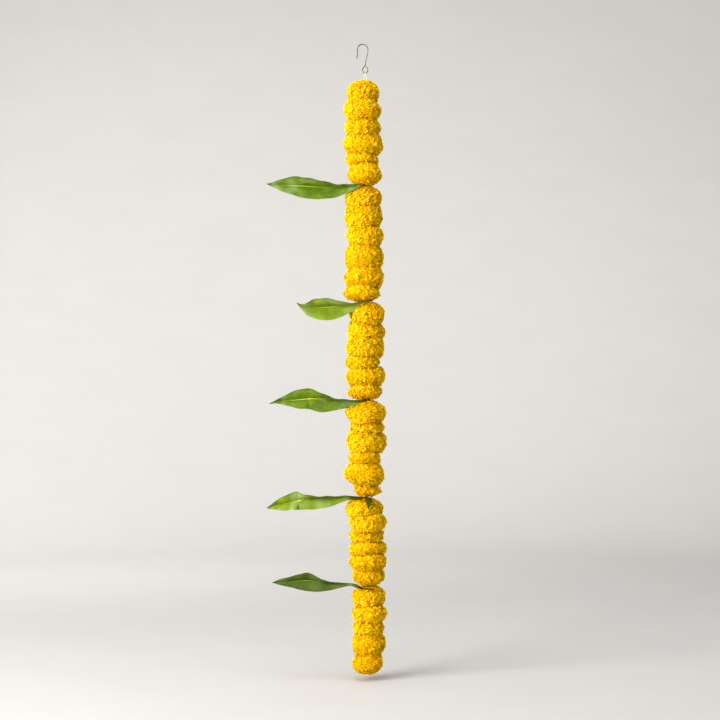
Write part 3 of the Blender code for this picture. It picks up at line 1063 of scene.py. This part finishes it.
@dataclass
class CottonThread:
    """The thread: three plies in one length, looped through the eye and knotted at both ends."""

    axis: Pair  # where it hangs, in mm
    top: float  # height of the upper knot
    bottom: float  # height of the end knot
    eye_bottom: float  # height of the wire in the bottom of the eye
    radius: float = 0.42
    plies: int = 3
    ply_depth: float = 0.16
    lay: float = 3.2  # mm in which the plies go once round
    sides: int = 12
    half_spread: float = 2.2
    loop_radius: float = 1.55
    loop_steps: int = 14
    knot_steps: int = 72
    strand_step: float = 1.5

    def twisted(self, path: Array, closed: bool = False) -> Mesh:
        """A stretch of thread along a path, with its plies showing as a twist."""
        turn = whole_turn(self.sides) - math.tau * travelled(path)[:, None] / self.lay
        return sweep(path, self.radius * (1 + self.ply_depth * np.cos(self.plies * turn)), closed)

    def loop(self) -> Array:
        """The loop round the eye's wire.

        Returns:
            Points from the knot up its front and down its back, in mm.
        """
        spread, reach = self.half_spread, self.loop_radius
        front = [
            (-0.4 * spread, -0.2 * reach, self.top),
            (-spread, -0.8 * reach, self.eye_bottom - 6 * reach),
            (-0.6 * spread, -1.1 * reach, self.eye_bottom - 2.5 * reach),
            (0.0, -reach, self.eye_bottom),
        ]
        back = [(-x, -y, z) for x, y, z in reversed(front)]
        points = np.array([*front, (0.0, 0.0, self.eye_bottom + reach), *back])
        return through(points, self.loop_steps) + np.array([*self.axis, 0.0])

    def knot(self, height: float) -> Array:
        """An overhand knot, pulled tight.

        Args:
            height: The height of its middle, in mm.

        Returns:
            Points once round it, in mm.
        """
        t = whole_turn(self.knot_steps)
        turn = 1.25 + 0.55 * np.cos(3 * t)
        knot = np.stack([turn * np.cos(2 * t), turn * np.sin(2 * t), 0.85 * np.sin(3 * t)], axis=1)
        return knot + np.array([*self.axis, height])

    def build(self) -> None:
        """Makes the thread as one object, in place of its CAD node."""
        steps = int((self.top - self.bottom) / self.strand_step)
        strand = np.linspace([*self.axis, self.top], [*self.axis, self.bottom], steps)
        parts = [self.twisted(strand), self.twisted(self.loop())]
        for height in (self.top, self.bottom):
            parts.append(self.twisted(self.knot(height), closed=True))
        cotton = ThreadFinish().material()
        hang("cotton_thread", "garland_thread", "thread", join(parts), cotton)


@dataclass
class Garland:
    """The whole garland, built round the CAD nodes' places."""

    leaf_gap: float = 1.5  # heads that stand further apart than this have a leaf between them
    knot_sink: float = 1.2  # how far a knot's middle sits past the rim of the head that it bears on

    def box(self, node: str) -> tuple[Array, Array]:
        """The corners of a CAD node's box, in mm."""
        low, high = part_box(node)
        return np.array(low) / MM, np.array(high) / MM

    def build(self) -> None:
        """Builds every piece, from the hook down."""
        boxes = [self.box(node) for node in sorted(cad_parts) if node.startswith("flower_")]
        gaps = [upper[0][2] - lower[1][2] for upper, lower in zip(boxes, boxes[1:])]
        squeezed = [False, *(gap <= self.leaf_gap for gap in gaps), False]
        radii = [head_radius(*box) for box in boxes]
        smaller = [min(radii[max(i - 1, 0) : i + 1]) for i in range(len(radii) + 1)]
        seams = [Seam.at(number, *fit) for number, fit in enumerate(zip(squeezed, smaller))]
        crossings = [low[2] - gap / 2 for (low, _), gap in zip(boxes, gaps) if gap > self.leaf_gap]
        axis = tuple(sum(self.box("garland_thread"))[:2] / 2)

        hook = WireHook()
        hook.build()
        knots = boxes[0][1][2] - self.knot_sink, boxes[-1][0][2] + self.knot_sink
        CottonThread(axis, *knots, hook.eye_down[-1][1]).build()

        petals = PetalFinish().material()
        since_leaf = 0
        for number, (low, high) in enumerate(boxes, start=1):
            top, bottom = seams[number - 1 : number + 1]
            since_leaf = since_leaf + 1 if top.squeezed else 0
            FlowerHead(number, low, high, top, bottom, faces_up=since_leaf < 3).build(petals)
        for number, (shape, height) in enumerate(zip(LEAVES, crossings), start=1):
            MangoLeaf(number, np.array([*axis, height]), shape).build()


@dataclass
class Studio:
    """A round pale cove with a floor just below the garland, soft lights and the camera."""

    floor_gap: float = 0.010
    floor_radius: float = 1.9
    cove_radius: float = 1.3
    wall_height: float = 2.6
    camera_distance: float = 2.9
    view_height: float = 1.1808  # what the camera sees at the garland
    aim: Pair = (-0.0043, -0.517)
    sensor: float = 36.0
    cove_sides: int = 96
    cove_steps: int = 24
    paper: tuple[str, str] = ("#B4B2AE", "#B6B4B0")
    sky: str = "#F2F3F6"
    sky_strength: float = 1.04

    def cove(self, floor: float) -> None:
        """Adds the floor and the wall that it curves up into.

        Args:
            floor: The floor's height, in metres.
        """
        bend = np.linspace(0, math.pi / 2, self.cove_steps + 1)
        radii = np.concatenate([[0.01], self.floor_radius + self.cove_radius * np.sin(bend)])
        heights = np.concatenate([[0], self.cove_radius * (1 - np.cos(bend))])
        radii = np.append(radii, radii[-1])
        heights = np.append(heights, self.wall_height)
        turns = whole_turn(self.cove_sides)
        out, height = radii[:, None], floor + heights[:, None] + 0 * turns
        rings = np.stack([out * np.cos(turns), out * np.sin(turns), height], axis=-1)
        faces = ring_faces(len(radii), self.cove_sides)[:-1]
        nodes = Shading("matt_paper_sweep")
        grain = nodes.add("TexNoise", "Fac", {"Scale": 40.0, "Detail": 2.0})
        colour = nodes.ramp(grain, *zip((0.3, 0.7), self.paper))
        material = nodes.surface({"Base Color": colour, "Roughness": 0.9})
        add_object("paper_cove", (rings.reshape(-1, 3), faces), material)

    def lamp(self, name: str, kind: str, place: Triple, aim: Triple, power: float, **more: float) -> None:
        """Adds a light.

        Args:
            name: Its name.
            kind: "AREA" for a square soft light, "SPOT" for one whose pool fades from its middle.
            place: Where it stands, in metres.
            aim: What it faces.
            power: Its power in watts.
            more: Its size and, of a spotlight, its cone.
        """
        data = bpy.data.lights.new(name, kind)
        data.energy = power
        for key, value in more.items():
            setattr(data, key, value)
        lamp = bpy.data.objects.new(name, data)
        lamp.location = place
        lamp.rotation_euler = (Vector(aim) - Vector(place)).to_track_quat("-Z", "Y").to_euler()
        lamp.visible_camera = kind == "SPOT"
        bpy.context.scene.collection.objects.link(lamp)

    def build(self) -> None:
        """Builds the cove, the lights and the camera."""
        scene = bpy.context.scene
        self.cove(CAD_BOX[0].z - self.floor_gap)
        self.lamp("key", "AREA", (-2.0, -1.6, 0.05), (0.0, 0.0, -0.45), 143.0, size=1.7)
        self.lamp("top", "AREA", (-0.3, -0.5, 2.0), (0.0, 0.0, -1.0), 32.0, size=1.2)
        pool = {"spot_size": math.radians(66.0), "spot_blend": 1.0, "shadow_soft_size": 0.3}
        self.lamp("wall_glow", "SPOT", (-1.5, -0.4, 0.8), (-0.45, 2.9, -0.8), 300.0, **pool)
        world = bpy.data.worlds.new("studio")
        world.use_nodes = True
        background = world.node_tree.nodes["Background"].inputs
        background["Color"].default_value = linear(self.sky)
        background["Strength"].default_value = self.sky_strength
        scene.world = world
        scene.view_settings.view_transform = "Standard"

        data = bpy.data.cameras.new("camera")
        data.sensor_width = self.sensor
        data.lens = self.sensor * self.camera_distance / self.view_height
        camera = bpy.data.objects.new("camera", data)
        camera.location = (self.aim[0], -self.camera_distance, self.aim[1])
        camera.rotation_euler = (math.pi / 2, 0, 0)
        scene.collection.objects.link(camera)
        scene.camera = camera


def main() -> None:
    """Builds the studio and the garland."""
    logging.basicConfig(level=logging.INFO, format="%(name)s: %(message)s")
    Studio().build()
    Garland().build()


if __name__ == "__main__":
    main()
